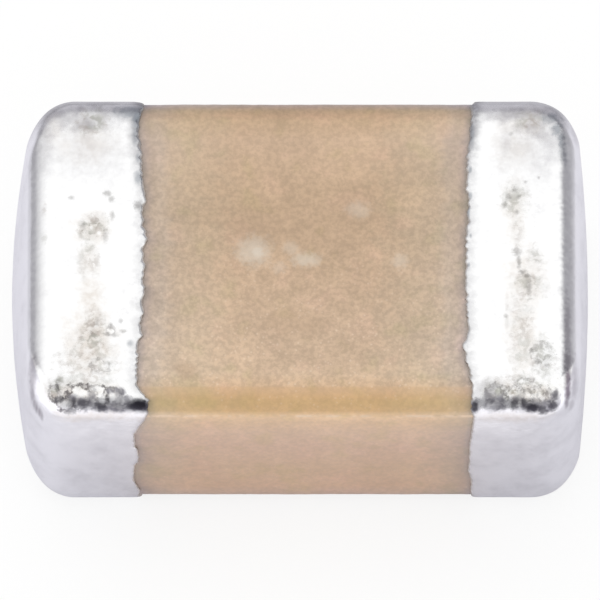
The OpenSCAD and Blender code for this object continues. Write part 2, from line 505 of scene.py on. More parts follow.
def isUpright(a, b):
    return abs(a.z - b.z) > 0.5 and abs(a.x - b.x) < hair


def isLevelAt(a, b, low, high):
    return abs(a.z - b.z) < hair and (a.z > high - hair or a.z < low + hair)


# The electrodes' slots, open in turn at the left and the right end, under the metal
def cutSlots(block):
    c = ceramic
    pitch = (c["height"] - 2 * c["cover"]) / (c["electrodes"] - 1)
    middle = c["foot"] + c["height"] / 2
    halfSlot = c["width"] / 2 - c["sideMargin"]
    thick = c["electrodeThickness"] / 2
    plates = []
    for index in range(c["electrodes"]):
        side = -1 if index % 2 == 0 else 1
        level = middle + (index - (c["electrodes"] - 1) / 2) * pitch
        near = side * (c["length"] / 2 + c["overrun"])
        far = -side * (c["length"] / 2 - c["endMargin"])
        plates.append(startCube(
            f"slotCutter{index:02d}",
            (min(near, far), -halfSlot, level - thick),
            (max(near, far), halfSlot, level + thick),
        ))
    choose(*plates)
    bpy.ops.object.join()
    applyModifier(block, "BOOLEAN", object=plates[0], operation="DIFFERENCE", solver="EXACT")
    bpy.data.objects.remove(plates[0])


def makeCeramicBlock():
    c = ceramic
    top = c["foot"] + c["height"]
    block = startCube(
        "ceramicBlock",
        (-c["length"] / 2, -c["width"] / 2, c["foot"]),
        (c["length"] / 2, c["width"] / 2, top),
    )
    bevelEdges(block, isUpright, c["uprightRadius"], 14)
    bevelEdges(block, lambda a, b: isLevelAt(a, b, c["foot"], top), c["edgeRadius"], 10)
    applyModifier(block, "REMESH", mode="VOXEL", voxel_size=c["grid"])
    applyModifier(block, "SMOOTH", factor=0.5, iterations=4)
    displace(block, cloudTexture("firedWaves", c["waveSize"]), c["waveDepth"], 1.0)
    displace(block, cloudTexture("firedPits", c["pitSize"], 3, 1.4), c["pitDepth"], 1.0)
    cutSlots(block)
    bringHome(block)
    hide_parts("ceramic_body")
    return block


ceramicBlock = makeCeramicBlock()
print("ceramic faces", len(ceramicBlock.data.polygons))

print("stage: ceramic finish")

firedTan = dict(
    # the top's tone from the front to the back, by y in mm: red, green and blue of 255; its last two stops,
    # the greyish line along the back edge, are a painted sheen
    top=(
        (-0.550, 203, 170, 135), (-0.480, 204, 177, 149), (-0.330, 200, 173, 146), (-0.075, 194, 166, 138),
        (0.240, 191, 163, 134), (0.430, 202, 173, 145), (0.507, 194, 165, 134), (0.527, 187, 156, 127),
        (0.549, 174, 148, 120), (0.566, 168, 146, 130), (0.583, 173, 155, 145),
    ),
    # the long faces' tone and that of their upper edges, by height in mm: darker toward the bottom, with a
    # painted highlight at about 0.65 mm, under the upper edges
    face=(
        (0.050, 199, 175, 159), (0.130, 210, 178, 151), (0.270, 209, 179, 151), (0.440, 212, 181, 157),
        (0.540, 218, 188, 161), (0.610, 224, 192, 158), (0.650, 237, 203, 164), (0.672, 233, 197, 152),
        (0.694, 212, 175, 126), (0.7255, 206, 171, 122), (0.736, 205, 168, 123), (0.746, 204, 170, 135),
    ),
    # painted shade beside the metal: what the tone is multiplied by toward the metal, darkest and bluest
    # beside it, by the distance from it in hundredths of mm
    topShadeByMetal=(
        (0.3, 0.64, 0.75, 0.98), (1.0, 0.70, 0.82, 1.06), (1.75, 0.80, 0.90, 1.14),
        (2.8, 0.88, 0.975, 1.18), (4.2, 0.925, 1.02, 1.185), (7.0, 0.967, 1.067, 1.23),
        (11.0, 0.992, 1.053, 1.13), (18.0, 0.988, 1.04, 1.075), (34.0, 1.0, 1.0, 1.0),
    ),
    faceShadeByMetal=(
        (0.3, 0.69, 0.79, 0.97), (1.4, 0.71, 0.80, 0.96), (2.8, 0.78, 0.84, 0.94), (5.6, 0.85, 0.91, 0.98),
        (9.7, 0.90, 0.94, 0.98), (20.0, 1.0, 1.0, 1.0),
    ),
    light=colour(236, 214, 190), dark=colour(168, 140, 112), pale=colour(218, 206, 190),
    paintedHighlight=colour(238, 212, 182),
    reddish=(1.013, 0.99, 1.015, 1.0), greenish=(0.99, 1.015, 0.95, 1.0),
    grain=58.0, fineShare=0.095, mediumShare=0.075, broadShare=0.07,
    # on the top: place, half widths, strength and raggedness
    patches=[
        (-0.158, 0.0, 0.052, 0.05, 0.6, 1.6), (-0.148, -0.004, 0.026, 0.026, 0.85, 1.6),
        (-0.031, 0.009, 0.026, 0.024, 0.35, 1.8), (-0.072, -0.066, 0.022, 0.02, 0.25, 1.8),
        (0.021, -0.034, 0.045, 0.024, 0.55, 1.8), (0.2, 0.16, 0.036, 0.03, 0.35, 1.8),
        (0.345, -0.04, 0.026, 0.026, 0.35, 1.8),
    ],
    darkPatches=[
        (-0.395, -0.465, 0.035, 0.035, 0.4, 1.4), (0.0, 0.1, 0.25, 0.1, 0.2, 1.6),
        (-0.02, -0.28, 0.1, 0.05, 0.25, 1.6),
    ],
)


def onCeramic(patches):
    top = ceramic["foot"] + ceramic["height"]
    return [
        ((x, y, top), (wide, deep, 0.1), strength, ragged) for x, y, wide, deep, strength, ragged in patches
    ]


def makeCeramicMaterial():
    f, c = firedTan, ceramic
    material, position = newMaterial("firedCeramic")
    y, z = partsOf(position)[1:3]
    grain = grainOf(position, f["grain"], 0.62)
    broad = noiseOf(position, 5.0, 2.0, 0.6)
    medium = noiseOf(position, 18.0, 2.0, 0.6)
    tint = noiseOf(position, 9.0, 2.0, 0.6)
    halfWidth, flatTop = c["width"] / 2, c["foot"] + c["height"] - c["edgeRadius"]
    frontSide = ramp(y, 0.008 - halfWidth + c["edgeRadius"], -0.004 - halfWidth + c["edgeRadius"])
    backSide = ramp(y, halfWidth - 0.012, halfWidth - 0.004)
    onFace = maths("MAXIMUM", frontSide, backSide)
    upright = ramp(z, flatTop + 0.005, flatTop - 0.012)

    def courseOf(value, kind, convert):
        return tones(value, [(stop[0], convert(*stop[1:])) for stop in f[kind]])

    def factor(red, green, blue):
        return (red, green, blue, 1.0)

    tan = mixed(onFace, courseOf(y, "top", colour), courseOf(z, "face", colour))
    away = times(measureOf(material, "fromMetal"), ramp(medium, 0.3, 0.7, 0.85, 1.15))
    topShadeByMetal, faceShadeByMetal = courseOf(away, "topShadeByMetal", factor), courseOf(away, "faceShadeByMetal", factor)
    # painted shade beside the metal: the faces' course on their upright part, the top's elsewhere
    edges = mixed(times(onFace, upright), topShadeByMetal, faceShadeByMetal)
    tan = mixed(1.0, tan, edges, "MULTIPLY")
    tan = mixed(ramp(tint, 0.54, 0.72), tan, mixed(1.0, tan, f["reddish"], "MULTIPLY"))
    tan = mixed(ramp(tint, 0.46, 0.28), tan, mixed(1.0, tan, f["greenish"], "MULTIPLY"))
    # a painted highlight: a thin pale line along the long faces, under their upper edges
    paintedHighlight = times(onFace, ramp(z, 0.674, 0.664), ramp(z, 0.648, 0.656))
    tan = mixed(times(paintedHighlight, ramp(medium, 0.4, 0.6), 0.8), tan, f["paintedHighlight"])
    fineShade = ramp(grain["Fine"], 0.0, 1.0, 1.0 - f["fineShare"], 1.0 + f["fineShare"])
    mediumShade = ramp(medium, 0.25, 0.75, 1.0 - f["mediumShare"], 1.0 + f["mediumShare"])
    broadShade = ramp(broad, 0.25, 0.75, 1.0 - f["broadShare"], 1.0 + f["broadShare"])
    grained = scaled(tan, times(fineShade, mediumShade, broadShade))
    quiet = ramp(y, 0.1, 0.45, 0.0, 0.2)
    calm = maths("SUBTRACT", 1.0, maths("MAXIMUM", quiet, times(onFace, 0.5)))
    tan = mixed(calm, tan, grained)
    fleck = times(ramp(grain["Cells"], 0.6, 1.0), ramp(medium, 0.42, 0.62))
    tan = mixed(times(fleck, ramp(y, 0.2, -0.4), calm, 0.35), tan, f["light"])
    tan = mixed(spots(position, onCeramic(f["patches"]), 60.0, 0.7), tan, f["pale"])
    tan = mixed(spots(position, onCeramic(f["darkPatches"]), 30.0, 0.6), tan, f["dark"])
    height = maths("ADD", grain["Fine"], times(medium, 1.5))
    surface = {
        "Base Color": tan,
        "Roughness": ramp(grain["Fine"], 0.0, 1.0, 0.42, 0.56),
        "IOR": 1.5,
        "Normal": bumped(times(height, calm), 0.0007),
    }
    finishMaterial(surface)
    return material


dress(ceramicBlock, makeCeramicMaterial())

print("stage: tin caps")

tin = dict(
    halfWidth=0.611, top=0.756, build=0.010,
    uprightRadius=0.18, endRadius=0.1, edgeRadius=0.083,
    tip=0.9998, inner=0.45,  # mm from the chip's middle: the dome's far end, and where the modelling starts
    rimSlope=62.0,  # degrees, slope of the rounded end edge where the dome starts
    lipWidth=0.024,
    # the lip's fall to the ceramic: share of its width, and of its height still left
    lipProfile=((0.35, 0.98), (0.65, 0.91), (0.84, 0.74), (0.94, 0.45), (1.0, 0.0), (0.98, -0.35)),
    grid=0.0075,
    wall=0.0035,
    lipSearch=0.66, seated=0.0006,  # how far out the solid's lip lies, and how near the ceramic its edge is
    courseReach=(0.03, 0.12), fringeReach=(0.02, 0.07),  # how far behind the lip its shift and its teeth fade
    backFade=(0.60, 0.57), footFade=(0.03, 0.09),  # by y and by z, where the photo shows the lip no more
    lumpDepth=0.0010, lumpSize=0.09, fineDepth=0.0002, fineSize=0.03,
    toothDepth=0.009, toothLength=0.036, fringeDepth=0.006, fringeSize=0.02,
    toothDrift=1.6, driftFrequency=9.0, tallFrequency=23.0, topTeeth=0.2,
    left=dict(side=-1, nearest=0.566, dome=0.05, cornerGrowth=0.09, back=-0.001),
    right=dict(side=1, nearest=0.594, dome=0.03, cornerGrowth=0.05, back=0.004),
)
# The lip's course down each cap's top and front, by row and column of the photo
tin["left"]["edge"] = (
    (104, 143), (112, 140), (122, 136), (134, 136), (150, 140), (168, 141), (176, 139), (195, 145),
    (205, 143), (217, 141), (221, 144), (226, 141), (232, 145), (242, 146), (248, 141), (256, 141),
    (264, 144), (282, 142), (290, 144), (300, 142), (308, 142), (315, 142), (320, 140), (329, 140),
    (335, 142), (342, 135), (354, 138), (362, 135), (380, 135), (390, 140), (396, 145), (399, 148),
    (413, 148), (420, 145), (426, 140), (432, 136), (437, 131), (444, 131), (448, 137), (456, 139),
    (462, 138), (467, 131), (477, 130), (484, 136), (490, 139),
)
tin["right"]["edge"] = (
    (104, 472), (122, 471), (142, 469), (162, 467), (187, 466), (200, 468), (214, 469), (234, 465),
    (252, 466), (270, 465), (284, 469), (296, 468), (306, 465), (322, 468), (340, 465), (344, 463),
    (350, 463), (354, 465), (358, 464), (366, 467), (382, 471), (396, 471), (412, 470), (420, 473),
    (432, 475), (440, 479), (443, 474), (447, 469), (456, 468), (470, 467), (480, 470), (490, 470),
)


def photoRow(y, z):
    tilt = math.radians(view["elevation"])
    up = y * math.sin(tilt) + (z - view["middle"]) * math.cos(tilt)
    return view["imageWidth"] / 2 - view["drop"] - view["pixelsPerMm"] * up


def between(points, value):
    before = points[0]
    for after in points:
        if after[0] >= value:
            break
        before = after
    gap = after[0] - before[0]
    share = min(max((value - before[0]) / gap, 0.0), 1.0) if gap > 0.0 else 0.0
    return before[1] + (after[1] - before[1]) * share


# Distance round the band, from the middle of its top, on the rectangle of the ceramic block's faces
def alongLip(place):
    halfY, halfZ = ceramic["width"] / 2, ceramic["height"] / 2
    y, z = place.y, place.z - tin["top"] / 2
    share = max(abs(y) / halfY, abs(z) / halfZ, 0.001)
    y, z = y / share, z / share
    if z >= halfZ - 0.0001:
        return y
    if z <= 0.0001 - halfZ:
        return math.copysign(2 * halfY + 2 * halfZ, y) - y
    return math.copysign(halfY + halfZ - z, y)


def aboveCeramic(place):
    outY = max(abs(place.y) - ceramic["width"] / 2 + ceramic["edgeRadius"], 0.0)
    outZ = max(abs(place.z - tin["top"] / 2) - ceramic["height"] / 2 + ceramic["edgeRadius"], 0.0)
    return math.hypot(outY, outZ) - ceramic["edgeRadius"]


# Where the solid's own edge lies round the band: its distance from the chip's middle at each point of the lip
def lipCourse(node):
    nearest = {}
    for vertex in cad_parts[node].data.vertices:
        place = vertex.co / milli
        if abs(place.x) < tin["lipSearch"] and abs(aboveCeramic(place)) < tin["seated"]:
            along = round(alongLip(place), 2)
            nearest[along] = min(nearest.get(along, 1.0), abs(place.x))
    print(node, "lip points", len(nearest), "from", min(nearest.values()), "to", max(nearest.values()))
    return sorted(nearest.items())


# The lip's distance from the chip's middle at a place: the solid's, or the photo's where that reaches further
def lipAt(own, place):
    along, course = alongLip(place), own["course"]
    around = 4 * (ceramic["width"] / 2 + ceramic["height"] / 2)
    first, last = course[0], course[-1]
    solid = between([(last[0] - around, last[1])] + course + [(first[0] + around, first[1])], along)
    column = between(own["edge"], photoRow(place.y, place.z))
    photo = abs(column - view["imageWidth"] / 2) / view["pixelsPerMm"] + own["back"]
    seen = softStep(place.y, *tin["backFade"]) * softStep(place.z, *tin["footFade"])
    return solid - max(solid - photo, 0.0) * seen


# The cap's smooth outline at x, as in the solid: its half width, half height and corner radius
def outlineAt(own, x):
    rim = tin["tip"] - own["dome"]
    edgeStart = rim - tin["endRadius"] * math.sin(math.radians(tin["rimSlope"]))
    cornerStart = edgeStart - tin["uprightRadius"] + tin["endRadius"]
    alongCorner = max(min(x, rim) - cornerStart, 0.0)
    alongEdge = max(min(x, rim) - edgeStart, 0.0)
    corner, edge = tin["uprightRadius"], tin["endRadius"]
    halfWidth = tin["halfWidth"] - corner + math.sqrt(corner ** 2 - alongCorner ** 2)
    halfHeight = tin["top"] / 2 - edge + math.sqrt(edge ** 2 - alongEdge ** 2)
    radius = tin["edgeRadius"] + own["cornerGrowth"] * (alongCorner / (rim - cornerStart)) ** 2
    scale = math.sqrt(max(1.0 - max(x - rim, 0.0) / own["dome"], 0.0001))
    return halfWidth * scale, halfHeight * scale, radius * scale


def gapFrom(outline, place):
    halfWidth, halfHeight, radius = outline
    outY = abs(place.y) - halfWidth + radius
    outZ = abs(place.z - tin["top"] / 2) - halfHeight + radius
    return math.hypot(max(outY, 0.0), max(outZ, 0.0)) + min(max(outY, outZ), 0.0) - radius


# How far a point stands outside the outline, measured square to the surface
def overOutline(own, place):
    x, step = own["side"] * place.x, 0.0005
    slope = (gapFrom(outlineAt(own, x + step), place) - gapFrom(outlineAt(own, x - step), place)) / (2 * step)
    return gapFrom(outlineAt(own, x), place) / math.sqrt(1.0 + slope * slope)


# The dome's height over its rim, as a share: 1 in the middle of the end and 0 at the rim
def domeShare(own, place):
    halfWidth, halfHeight, radius = outlineAt(own, tin["tip"] - own["dome"])
    if own["side"] * place.x < 0.8 or gapFrom((halfWidth, halfHeight, radius), place) > 0.0:
        return 0.0
    low, high = 0.0, 1.0
    for halving in range(18):
        share = (low + high) / 2
        if gapFrom((halfWidth * share, halfHeight * share, radius * share), place) > 0.0:
            low = share
        else:
            high = share
    return 1.0 - high * high


# Brings the end's edges and corners to the solid's own outline
def fitEnd(cap, own):
    span, inner = 0.05, 0.7
    for turn in range(3):
        for word, sign in (("over", 1.0), ("under", -1.0)):
            group = f"{word}{turn}"

            def excess(place):
                return sign * overOutline(own, place) / span if abs(place.x) > inner else 0.0

            weigh(cap, group, excess)
            displace(cap, None, -sign * span, 0.0, "NORMAL", group)


# The cap's block, open toward the chip's middle once it is cut at the lip
def startCap(name, own, cut):
    side, rim = own["side"], tin["tip"] - own["dome"]
    near, far = side * tin["inner"], side * rim
    low = (min(near, far), -tin["halfWidth"], 0.0)
    high = (max(near, far), tin["halfWidth"], tin["top"])
    cap = startCube(name, low, high)

    def isOuter(a, b):
        return isUpright(a, b) and side * a.x > 0.9

    def isLong(a, b):
        return isLevelAt(a, b, 0.0, tin["top"]) and side * (a.x + b.x) > 2 * (tin["inner"] + hair)

    bevelEdges(cap, isOuter, tin["uprightRadius"], 14)
    bevelEdges(cap, isLong, tin["edgeRadius"], 10)
    applyModifier(cap, "REMESH", mode="VOXEL", voxel_size=tin["grid"])
    # the end bulges into a dome, and its edges and corners are the solid's
    weigh(cap, "dome", lambda place: domeShare(own, place))
    displace(cap, None, side * own["dome"], 0.0, "X", "dome")
    fitEnd(cap, own)
    applyModifier(cap, "SMOOTH", factor=0.5, iterations=3)
    bpy.ops.object.mode_set(mode="EDIT")
    bpy.ops.mesh.select_all(action="SELECT")
    bpy.ops.mesh.bisect(
        plane_co=(side * cut, 0.0, 0.0), plane_no=(side, 0.0, 0.0), clear_inner=True, clear_outer=False,
        use_fill=False,
    )
    backToObject()
    return cap


# The lip rounds down to the ceramic, step by step from the cut
def roundLip(cap, side, cut):
    halfY, halfZ = ceramic["width"] / 2, ceramic["height"] / 2
    lastX, lastRise = 0.0, tin["build"]
    for share, rest in tin["lipProfile"]:
        reachX = tin["lipWidth"] * share
        rise = tin["build"] * rest
        edgeX = cut - lastX
        pick(cap, "VERT", lambda place: abs(side * place.x - edgeX) < 0.0004)
        step = (-side * (reachX - lastX), 0.0, 0.0)
        bpy.ops.mesh.extrude_edges_move(TRANSFORM_OT_translate={"value": step})
        shrinkY = (halfY + rise) / (halfY + lastRise)
        shrinkZ = (halfZ + rise) / (halfZ + lastRise)
        bpy.ops.transform.resize(
            value=(1.0, shrinkY, shrinkZ), center_override=(side * (cut - reachX), 0.0, tin["top"] / 2)
        )
        backToObject()
        lastX, lastRise = reachX, rise


# The lip follows the solid's own edge and the photo's, and is ragged
def shapeLip(cap, name, own):
    side, nearest, span = own["side"], own["nearest"], 0.1

    def fading(place, reach):
        return 1.0 - softStep(side * place.x, nearest + reach[0], nearest + reach[1])

    def lipShift(place):
        wanted = nearest - lipAt(own, place)
        return fading(place, tin["courseReach"]) * (wanted + span / 2) / span

    def toothShare(place):
        along = alongLip(place)
        drift = tin["toothDrift"] * noise.noise(Vector((along * tin["driftFrequency"], side * 3.0, 0.0)))
        tall = 0.65 + 0.7 * noise.noise(Vector((along * tin["tallFrequency"], 7.0, side)))
        tooth = abs(math.sin(math.pi * along / tin["toothLength"] + drift * math.pi))
        offTop = softStep(abs(place.z - tin["top"] / 2), 0.30, 0.34)
        shown = tin["topTeeth"] + (1.0 - tin["topTeeth"]) * offTop
        return fading(place, tin["fringeReach"]) * tooth * min(max(tall, 0.1), 1.0) * shown

    weigh(cap, "course", lipShift)
    weigh(cap, "even", lambda place: fading(place, tin["courseReach"]))
    weigh(cap, "fringe", lambda place: fading(place, tin["fringeReach"]))
    weigh(cap, "teeth", toothShare)
    displace(cap, None, -side * span, 0.0, "X", "course")
    displace(cap, None, side * span / 2, 0.0, "X", "even")
    displace(cap, None, -side * tin["toothDepth"], 0.0, "X", "teeth")
    fringe = cloudTexture("fringe" + name, tin["fringeSize"])
    displace(cap, fringe, -side * tin["fringeDepth"], 0.0, "X", "fringe")


def makeTinCap(name, node, own):
    cut = own["nearest"] + tin["lipWidth"]
    cap = startCap(name, own, cut)
    roundLip(cap, own["side"], cut)
    # how far each point lies behind the lip, in hundredths of mm
    markPoints(cap, "behindLip", lambda place: (abs(place.x) - own["nearest"]) * 100.0)
    shapeLip(cap, name, own)
    displace(cap, cloudTexture("lumps" + name, tin["lumpSize"], 2, 1.3), tin["lumpDepth"], 1.0)
    displace(cap, cloudTexture("fineLumps" + name, tin["fineSize"], 2, 1.3), tin["fineDepth"], 1.0)
    applyModifier(cap, "SOLIDIFY", thickness=tin["wall"], offset=-1.0, use_rim=True)
    bringHome(cap)
    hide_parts(node)
    return cap


# How far a point of the ceramic lies from the metal, in hundredths of mm; negative under it
def fromMetal(point):
    place = point / milli
    own = tin["left"] if place.x < 0.0 else tin["right"]
    return (lipAt(own, place) - abs(place.x)) * 100.0


caps = {}
for end in ("left", "right"):
    tin[end]["course"] = lipCourse(end + "_tin_plating")
    caps[end] = makeTinCap(end + "TinCap", end + "_tin_plating", tin[end])
    print(end, "tin faces", len(caps[end].data.polygons))
markPoints(ceramicBlock, "fromMetal", fromMetal)

print("stage: tin finish")

plated = dict(
    bright=colour(248, 248, 248), grey=colour(176, 174, 178), beige=colour(222, 214, 205),
    stain=colour(164, 153, 142), olive=colour(160, 160, 148), speck=colour(120, 117, 114),
    charcoal=colour(146, 144, 150), black=colour(64, 62, 70), shade=colour(134, 133, 138),
    teal=colour(118, 126, 136), plum=colour(92, 76, 92), ring=colour(102, 97, 98),
    thin=colour(196, 187, 180),  # the edge of the tin, too thin to shine
    roughness=0.17,
    # each kind of mark: how often its outline turns and how soft its edge is
    clouds=(24.0, 0.9), tints=(24.0, 0.9), stains=(50.0, 0.8), rings=(60.0, 0.45), specks=(100.0, 0.85),
    teals=(60.0, 0.75), smudgesAndReflection=(60.0, 0.45), blacks=(80.0, 0.5), pales=(60.0, 0.45), rims=(60.0, 0.8),
)

# Marks are placed on the photo's pixels: column, row, half width, half height, strength and
# raggedness, which is 2 where none is given
leftMarks = dict(
    clouds=[
        (85, 150, 42, 26, 0.3, 1.6), (92, 118, 30, 14, 0.9, 1.8), (62, 118, 18, 12, 0.8, 1.8),
        (50, 126, 9, 16, 0.75, 1.8), (112, 112, 26, 6, 0.6, 1.6), (48, 148, 8, 26, 0.5, 1.6),
        (72, 112, 30, 6, 0.65, 1.6), (58, 388, 8, 8, 0.5, 1.8), (36, 362, 5, 8, 0.4, 1.6),
    ],
    tints=[
        (90, 145, 18, 16, 0.5, 1.6), (90, 262, 9, 22, 0.5, 1.6), (91, 298, 10, 24, 0.7, 1.6),
        (92, 340, 20, 30, 0.8, 1.6), (80, 392, 34, 9, 0.6, 1.6), (92, 228, 16, 14, 0.6, 1.6),
        (94, 416, 48, 4.5, 0.6, 2.4), (85, 142, 30, 16, 0.3, 1.8), (54, 128, 8, 18, 0.4, 1.8),
    ],
    stains=[
        (92, 121, 12, 12, 0.6), (85, 229, 5, 8, 0.75), (97, 224, 9, 8, 0.65), (91, 236, 7, 6, 0.6),
        (90, 248, 5, 9, 0.4), (95, 262, 5, 10, 0.4), (84, 260, 5, 16, 0.25), (45, 210, 3, 6, 0.3),
        (45, 238, 3, 6, 0.3), (95, 335, 9, 20, 0.65), (84, 337, 5, 8, 0.5), (88, 362, 24, 16, 0.45),
        (101, 370, 5, 6, 0.5), (84, 384, 26, 8, 0.4), (58, 391, 8, 9, 0.7), (61, 381, 5, 4, 0.8, 2.2),
    ],
    rings=[
        (82, 393, 12, 8, 0.95), (99, 391, 8, 6, 0.9), (67, 403, 9, 6, 0.95, 1.8), (78, 404, 7, 4, 0.7),
        (101, 366, 8, 7, 0.35, 2.2), (56, 392, 6, 6, 0.8, 2.2), (112, 331, 4, 5, 0.35, 2.4),
        (115, 396, 8, 7, 0.8, 1.6),
    ],
    specks=[
        (72, 198, 3, 2, 0.4), (108, 194, 4, 3, 0.5, 2.2), (112, 199, 3, 3, 0.45, 2.2),
        (113, 216, 2, 4, 0.45), (139, 206, 4, 4, 0.6, 1.8), (112, 326, 2, 3, 0.5), (108, 334, 3, 2, 0.45),
        (116, 335, 3, 2, 0.4), (122, 321, 2, 2, 0.4), (125, 331, 3, 1.5, 0.45), (84, 226, 2.5, 4, 0.35),
        (98, 322, 2, 4, 0.35), (94, 333, 3, 3, 0.35), (106, 236, 2.5, 6, 0.35),
    ],
    teals=[
        (129, 112, 13, 7, 0.6, 1.8), (131, 343, 3, 3, 0.45, 1.6), (135, 136, 2.5, 8, 0.4, 1.4),
        (138, 158, 2, 4, 0.4, 1.4), (139, 178, 4, 6, 0.55, 1.8), (137, 118, 5, 9, 0.7, 1.6),
    ],
    smudgesAndReflection=[
        (68, 403, 11, 5, 0.45), (60, 381, 3, 3, 0.3, 2.4), (86, 403, 12, 6, 0.9, 1.6),
        (104, 405, 14, 5, 0.95, 1.4), (121, 393, 6, 6, 0.9, 1.2), (128, 399, 6, 4, 0.8, 1.2),
        (112, 391, 5, 2.5, 0.8, 1.4), (120, 401, 11, 7, 0.8, 1.4), (120, 406, 18, 4, 0.95, 0.8),
        (93, 396, 4, 4, 0.7, 1.6), (76, 397, 6, 3, 0.8, 1.6),
    ],
    blacks=[
        (142, 405, 14, 5, 1.0, 0.5), (103, 405, 6, 3.5, 0.8, 1.8), (85, 402, 5, 3, 0.55),
        (61, 399, 5, 2.5, 0.6), (72, 410, 6, 1.5, 0.5, 1.8), (122, 391, 3, 3, 0.4, 1.6),
        (109, 398, 2, 5, 0.5, 1.6), (121, 407, 9, 2, 0.4, 1.6), (76, 400, 2, 4, 0.5),
        (59, 388, 1.5, 4, 0.45),
    ],
    pales=[
        (82, 392, 7, 3.5, 0.55, 1.8), (99, 388, 5, 2.5, 0.5, 1.8), (103, 397, 3.5, 4, 0.7, 1.8),
        (114, 397, 3, 4, 0.6, 1.8), (92, 228, 1.5, 1.5, 0.6, 1.4), (100, 233, 1.5, 1.5, 0.6, 1.4),
        (68, 403, 4, 2.5, 0.3, 1.8),
    ],
    rims=[
        (35, 364, 5, 8, 0.4, 1.4), (34, 378, 3.6, 13, 0.5, 1.4), (34, 393, 2.4, 10, 0.5, 1.4),
        (36, 403, 2, 5, 0.5, 1.0), (38, 408, 2, 4, 0.6, 1.0), (41, 412, 2, 3, 0.6, 1.0),
        (43, 415, 2, 2, 0.5, 1.0),
    ],
)
rightMarks = dict(
    clouds=[
        (530, 150, 28, 34, 0.25, 1.6), (520, 114, 42, 9, 0.9, 1.8), (538, 126, 24, 14, 0.75, 1.8),
        (506, 142, 6, 18, 0.35, 1.6), (488, 109, 14, 6, 0.6, 1.8), (550, 142, 12, 22, 0.5, 1.8),
        (490, 389, 10, 9, 0.8, 1.6),
    ],
    tints=[
        (522, 125, 22, 14, 0.5, 1.6), (514, 210, 10, 26, 0.5, 1.6), (524, 280, 16, 26, 0.6, 1.6),
        (520, 335, 14, 34, 0.6, 1.6), (532, 393, 18, 8, 0.9, 1.2), (500, 388, 14, 8, 0.4, 1.6),
        (515, 417, 48, 4.5, 0.55, 1.8), (520, 300, 12, 60, 0.35, 1.8), (515, 145, 18, 20, 0.4, 1.8),
    ],
    stains=[
        (530, 122, 12, 9, 0.5), (514, 200, 11, 14, 0.5), (517, 230, 5, 15, 0.3), (534, 257, 7, 12, 0.4),
        (526, 286, 13, 13, 0.5), (520, 335, 10, 33, 0.35), (540, 358, 11, 17, 0.55), (492, 390, 9, 9, 0.75),
        (522, 384, 26, 9, 0.55), (515, 394, 10, 7, 0.85, 1.8), (506, 316, 2, 20, 0.2, 1.0),
        (540, 392, 12, 6, 0.5),
    ],
    rings=[
        (540, 352, 9, 9, 0.3, 2.4), (533, 397, 14, 9, 0.7), (512, 393, 9, 7, 0.7, 2.2),
        (526, 396, 6, 5, 0.6, 2.2), (543, 396, 7, 5, 0.6, 2.2), (494, 392, 8, 7, 0.6, 2.2),
        (523, 384, 9, 6, 0.35, 2.2),
    ],
    specks=[
        (514, 190, 3, 2.5, 0.45), (508, 197, 2.5, 3, 0.45), (504, 205, 2, 2.5, 0.45), (518, 197, 2, 2, 0.4),
        (516, 213, 2, 2.5, 0.4), (525, 182, 1.5, 1.5, 0.4), (538, 178, 1.5, 1.5, 0.4),
        (516, 252, 4, 4, 0.55, 2.2), (518, 262, 2, 6, 0.55), (521, 272, 3, 2, 0.6), (526, 276, 3, 2, 0.6),
        (528, 287, 2.5, 8, 0.5), (505, 316, 2, 2, 0.4), (530, 350, 2, 2, 0.5), (537, 361, 2.5, 2.5, 0.55),
        (545, 365, 2.5, 2, 0.45), (511, 134, 2, 2, 0.4),
    ],
    teals=[
        (551, 118, 9, 5, 0.55, 2.2), (557, 129, 5, 7, 0.6, 2.2), (561, 142, 3.5, 10, 0.6, 2.2),
        (563, 156, 3, 8, 0.45, 2.2), (472, 135, 2, 11, 0.4, 1.4), (470, 170, 1.5, 3, 0.6, 1.4),
        (470, 196, 1.5, 3, 0.5, 1.4), (468, 212, 1.5, 5, 0.5, 1.4), (470, 236, 1.2, 2, 0.5, 1.4),
        (468, 265, 1.2, 2, 0.5, 1.4),
    ],
    smudgesAndReflection=[
        (494, 403, 13, 8, 0.95, 1.4), (487, 396, 6, 6, 0.6, 1.8), (515, 400, 8, 4, 0.6, 1.8),
        (530, 406, 20, 4, 0.85, 1.2), (554, 399, 5, 8, 0.9, 1.2), (546, 405, 8, 5, 0.9, 1.2),
        (474, 405, 5, 6, 0.9, 0.8), (479, 402, 5, 1.5, 0.6, 0.8),
    ],
    blacks=[
        (512, 404, 4, 3.5, 0.7, 1.8), (522, 402, 3, 3, 0.7, 1.8), (531, 407, 7, 2.5, 0.95, 1.2),
        (541, 409, 6, 2.5, 0.8, 1.2), (551, 405, 5, 4, 0.85, 1.4), (554, 394, 2.5, 4, 0.6, 1.6),
        (473, 406, 3.5, 4.5, 0.9, 0.8), (502, 403, 3, 4, 0.35, 1.8), (489, 401, 4, 2, 0.4),
        (497, 407, 5, 1.5, 0.4),
    ],
    pales=[(508, 402, 1.5, 6, 0.3), (534, 396, 8, 3, 0.4, 1.8), (493, 405, 6, 2, 0.2)],
    rims=[
        (566, 335, 3, 34, 0.35, 1.8), (566, 362, 4, 14, 0.6, 1.6), (566, 378, 3.2, 11, 0.85, 1.2),
        (566, 391, 3, 10, 0.85, 1.2), (565, 401, 2.2, 6, 0.6, 1.2), (572, 380, 4, 18, 0.35, 1.6),
        (570, 404, 3, 8, 0.3, 1.2), (570, 122, 6, 8, 0.3, 1.8), (575, 136, 4, 10, 0.25, 1.8),
        (567, 182, 3, 12, 0.08), (567, 216, 3.5, 14, 0.1), (568, 240, 3.5, 14, 0.1), (569, 268, 4, 14, 0.1),
        (569, 300, 4, 20, 0.08),
    ],
)


